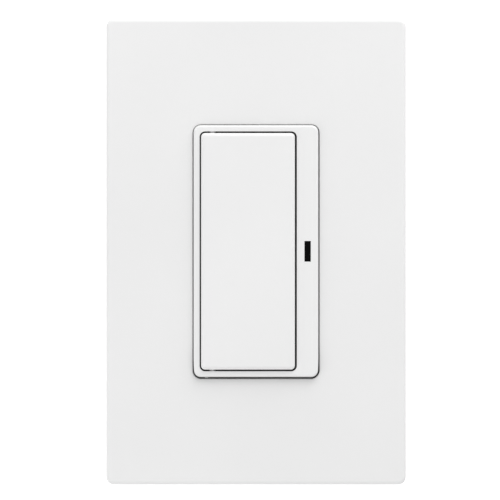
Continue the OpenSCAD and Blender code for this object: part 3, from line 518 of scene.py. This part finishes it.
def thread_radius(look, depth, length, turns):
    """Radius of a rolled thread at each depth and turn.

    It is a triangle wave of the depth plus the turned share of one pitch, between root and crest. The crests
    fade into the root over the first turn and into the cut point at the tip, where the root shrinks by a
    quarter of the point's length.
    """
    wave = np.abs((depth[:, None] / look.thread_pitch + turns[None, :]) % 1.0 * 2 - 1)
    left = np.clip((length - depth) / look.screw_point, 0.0, 1.0)
    fade = np.clip(depth / look.thread_pitch, 0.0, 1.0) * left
    root = look.thread_root - look.screw_point * (1 - left) / 4
    return root[:, None] + (look.thread_crest - look.thread_root) * wave * fade[:, None]


def box_screw_mesh(look, head_h, neck_l, length):
    """Pan-head machine screw, its seat at height 0: domed head, plain neck, rolled thread."""
    sides = look.screw_sides
    head = look.screw_head
    # The crown is part of a ball, in rings of points from next to the axis out to the rim.
    ball = 2.4 * head
    across = np.append(np.linspace(0.02, 0.96, 14), 1.0) * head
    crown = head_h - ball + np.sqrt(ball**2 - across**2)
    plain_radius = np.concatenate([across, [head, look.screw_neck, look.screw_neck]])
    plain_height = np.concatenate([crown, [0.0, 0.0, -neck_l]])
    depth = np.arange(0.0, length, look.thread_pitch / look.thread_steps)
    thread = thread_radius(look, depth, length, np.arange(sides) / sides)
    # The first ring of the thread lies this far below the end of the neck.
    step = 0.02 * MM
    thread_height = -neck_l - step - depth * (length - step) / depth[-1]
    radius = np.concatenate([np.repeat(plain_radius[:, None], sides, axis=1), thread])
    piece = turned_object("box_screw", radius, np.concatenate([plain_height, thread_height]))
    piece.data.set_sharp_from_angle(angle=math.radians(28.0))
    mesh = piece.data
    bpy.data.objects.remove(piece)
    return mesh


def coil_piece(name, look, height, reach, foot):
    """Compression spring: a circle of the wire's radius carried round a helix.

    The helix rises over the turns between its closed ends, and lies flat over both of them.
    The foot is the point of the axis where the spring stands, and it reaches out of the wall from there.
    """
    steps, sides = look.coil_steps * look.coil_turns, look.wire_sides
    share = np.linspace(0.0, 1.0, steps + 1)[:, None]
    closed = look.closed_turns / look.coil_turns
    level = np.clip((share - closed) / (1 - 2 * closed), 0.0, 1.0) * (height - 2 * look.wire) + look.wire
    turn = 2 * np.pi * look.coil_turns * share
    around = np.linspace(0.0, 2 * np.pi, sides, endpoint=False)
    out = reach - look.wire + look.wire * np.cos(around)
    rise = level + look.wire * np.sin(around)
    points = np.array(foot) + np.stack([out * np.cos(turn), -rise, out * np.sin(turn)], axis=-1)
    piece = mesh_object(name, points, tube_faces(steps + 1, sides))
    piece.data.set_sharp_from_angle(angle=math.radians(50.0))
    return piece


def flat_sheet(name, corner, along, across):
    """Plane patch: the corner plus either edge vector or both."""
    start, u, v = np.array(corner), np.array(along), np.array(across)
    return mesh_object(name, [start, start + v, start + u + v, start + u], [(0, 1, 2, 3)], smooth=False)


def stage_sheets(look):
    """Level floor, and an upright backdrop that glows evenly behind the switch."""
    wide = look.sheet_reach
    floor = flat_sheet("floor", (-wide, -wide, -look.floor_drop), (2 * wide, 0, 0), (0, 2 * wide, 0))
    floor.data.materials.append(paper("matt_floor_paper", 0.0))
    corner = (-wide, look.backdrop_back, -wide)
    backdrop = flat_sheet("backdrop", corner, (2 * wide, 0, 0), (0, 0, 2 * wide))
    backdrop.data.materials.append(paper("lit_backdrop_paper", look.paper_glow))


def aim_lamp(scene, light, place):
    """Hangs a lamp at a place and turns it to the switch."""
    lamp = bpy.data.objects.new(light.name, light)
    lamp.location = place
    lamp.rotation_mode = "QUATERNION"
    lamp.rotation_quaternion = (-lamp.location).to_track_quat("-Z", "Y")
    scene.collection.objects.link(lamp)


def soft_lights(scene, look):
    """A wide soft box above on the right, a weak reflector low on the left, and an even white surround."""
    world = bpy.data.worlds.new("white_surround")
    world.use_nodes = True
    world.node_tree.nodes["Background"].inputs["Color"].default_value = rgba("FFFFFF")
    world.node_tree.nodes["Background"].inputs["Strength"].default_value = look.surround
    scene.world = world
    box = bpy.data.lights.new("overhead_softbox", "AREA")
    box.shape = "RECTANGLE"
    box.size = look.box_width
    box.size_y = look.box_depth
    box.energy = look.box_power
    aim_lamp(scene, box, (look.box_side, -look.box_forward, look.box_height))
    fill = bpy.data.lights.new("low_reflector", "AREA")
    fill.size = look.fill_size
    fill.energy = look.fill_power
    aim_lamp(scene, fill, (-look.fill_side, -look.fill_forward, -look.fill_drop))


def place_camera(scene, look):
    """Square-on camera, with the lens length that gives the photograph's scale at the scale depth."""
    data = bpy.data.cameras.new("front_camera")
    data.sensor_width = 36.0
    seen = PHOTO_SIDE / look.pixels_per_mm * MM
    data.lens = data.sensor_width * (look.camera_distance - look.scale_depth) / seen
    data.clip_end = 20.0
    camera = bpy.data.objects.new("front_camera", data)
    camera.location = (
        (PHOTO_SIDE / 2 - look.frame_column) / look.pixels_per_mm * MM,
        -look.camera_distance,
        (look.frame_row - PHOTO_SIDE / 2) / look.pixels_per_mm * MM,
    )
    camera.rotation_euler = (math.pi / 2, 0.0, 0.0)
    scene.collection.objects.link(camera)
    scene.camera = camera
    scene.view_settings.view_transform = "Standard"


def size_setting(title, about, value, low=0.0, high=20.0):
    return bpy.props.FloatProperty(
        name=title, description=about, default=value, min=low, max=high, subtype="DISTANCE", unit="LENGTH"
    )


def plain_setting(title, about, value, low=0.0, high=1000.0):
    return bpy.props.FloatProperty(name=title, description=about, default=value, min=low, max=high)


def count_setting(title, about, value):
    return bpy.props.IntProperty(name=title, description=about, default=value, min=3, max=400)


class SwitchLook(bpy.types.PropertyGroup):
    """Sizes and finishes that a user would change"""

    plate_roughness: plain_setting("Plate roughness", "Roughness of the white mouldings", 0.42, 0.0, 1.0)
    screw_head: size_setting("Box screw head", "Radius of the wall box screws' heads", 3.4 * MM)
    screw_neck: size_setting("Box screw neck", "Radius of the plain neck in the strap's slot", 1.42 * MM)
    thread_crest: size_setting("Thread crest", "Outer radius of the wall box screws' threads", 1.75 * MM)
    thread_root: size_setting("Thread root", "Inner radius of the wall box screws' threads", 1.34 * MM)
    thread_pitch: size_setting("Thread pitch", "Distance from crest to crest", 0.794 * MM)
    screw_point: size_setting("Screw point", "Length of the cut point at the tip", 0.8 * MM)
    thread_steps: count_setting("Steps a pitch", "Rings of points along each pitch", 10)
    screw_sides: count_setting("Screw sides", "Points round the screws", 48)
    wire: size_setting("Spring wire", "Radius of the return springs' wire", 0.25 * MM)
    coil_turns: count_setting("Spring turns", "Turns of the return springs", 5)
    closed_turns: plain_setting("Closed turns", "Turns that lie flat at each end of a spring", 0.5, 0.0, 2.0)
    coil_steps: count_setting("Steps a turn", "Rings of points along each turn of a spring", 48)
    wire_sides: count_setting("Wire sides", "Points round the spring wire", 16)
    hinge_in: size_setting("Hinge inset", "Distance from the paddle's left edge to its hinge axis", 3 * MM)
    swing: plain_setting("Paddle swing", "Degrees that the paddle turns when it is pressed", 3.2, 0.0, 10.0)
    floor_drop: size_setting("Floor drop", "Distance from the switch's middle down to the floor", 0.6)
    backdrop_back: size_setting("Backdrop distance", "Distance from the wall plane back to the paper", 1.5)
    sheet_reach: size_setting("Paper reach", "How far the floor and the backdrop reach each way", 3.0)
    paper_glow: plain_setting("Paper glow", "Light that shines through the backdrop", 0.8, 0.0, 2.0)
    surround: plain_setting("Surround", "Strength of the even white surround", 0.698, 0.0, 5.0)
    box_width: size_setting("Soft box width", "Width of the overhead soft box", 0.9)
    box_depth: size_setting("Soft box depth", "Depth of the overhead soft box", 0.5)
    box_height: size_setting("Soft box height", "Height of the soft box above the switch", 0.75)
    box_forward: size_setting("Soft box forward", "How far in front of the wall the soft box hangs", 0.35)
    box_side: size_setting("Soft box side", "How far to the right the soft box hangs", 0.22, -5.0)
    box_power: plain_setting("Soft box power", "Power of the soft box in watts", 4.55)
    fill_size: size_setting("Reflector size", "Side of the square reflector", 0.6)
    fill_side: size_setting("Reflector side", "How far to the left the reflector is", 0.6)
    fill_forward: size_setting("Reflector forward", "How far in front of the wall the reflector is", 0.25)
    fill_drop: size_setting("Reflector drop", "How far below the switch's middle the reflector is", 0.42)
    fill_power: plain_setting("Reflector power", "Power of the reflector in watts", 1.15)
    camera_distance: size_setting("Camera distance", "Distance from the wall plane to the camera", 0.65)
    pixels_per_mm: plain_setting("Pixels per millimetre", "Scale of the photograph at the scale depth", 3.76)
    scale_depth: size_setting("Scale depth", "Distance out of the wall at which that scale holds", 0.006)
    frame_column: plain_setting("Frame column", "Column of the frame's middle in the photograph", 255.95)
    frame_row: plain_setting("Frame row", "Row of the frame's middle in the photograph", 251.3)


OPERATORS = (
    SWITCH_OT_front,
    SWITCH_OT_lens,
    SWITCH_OT_metals,
    SWITCH_OT_threads,
    SWITCH_OT_springs,
    SWITCH_OT_housing,
    SWITCH_OT_boards,
    SWITCH_OT_stage,
)


class SWITCH_PT_sidebar(bpy.types.Panel):
    """Lists the pieces of the switch"""

    bl_idname = "SWITCH_PT_sidebar"
    bl_label = "Accessory switch"
    bl_space_type = "VIEW_3D"
    bl_region_type = "UI"
    bl_category = "Switch"

    def draw(self, context):
        for name in SwitchLook.__annotations__:
            self.layout.prop(context.scene.switch_look, name)
        for operator in OPERATORS:
            self.layout.operator(operator.bl_idname)


CLASSES = (SwitchLook, *OPERATORS, SWITCH_PT_sidebar)


def register():
    for each in CLASSES:
        bpy.utils.register_class(each)
    bpy.types.Scene.switch_look = bpy.props.PointerProperty(type=SwitchLook)


def unregister():
    del bpy.types.Scene.switch_look
    for each in reversed(CLASSES):
        bpy.utils.unregister_class(each)


def main():
    register()
    for operator in OPERATORS:
        family, name = operator.bl_idname.split(".")
        getattr(getattr(bpy.ops, family), name)()


if __name__ == "__main__":
    main()
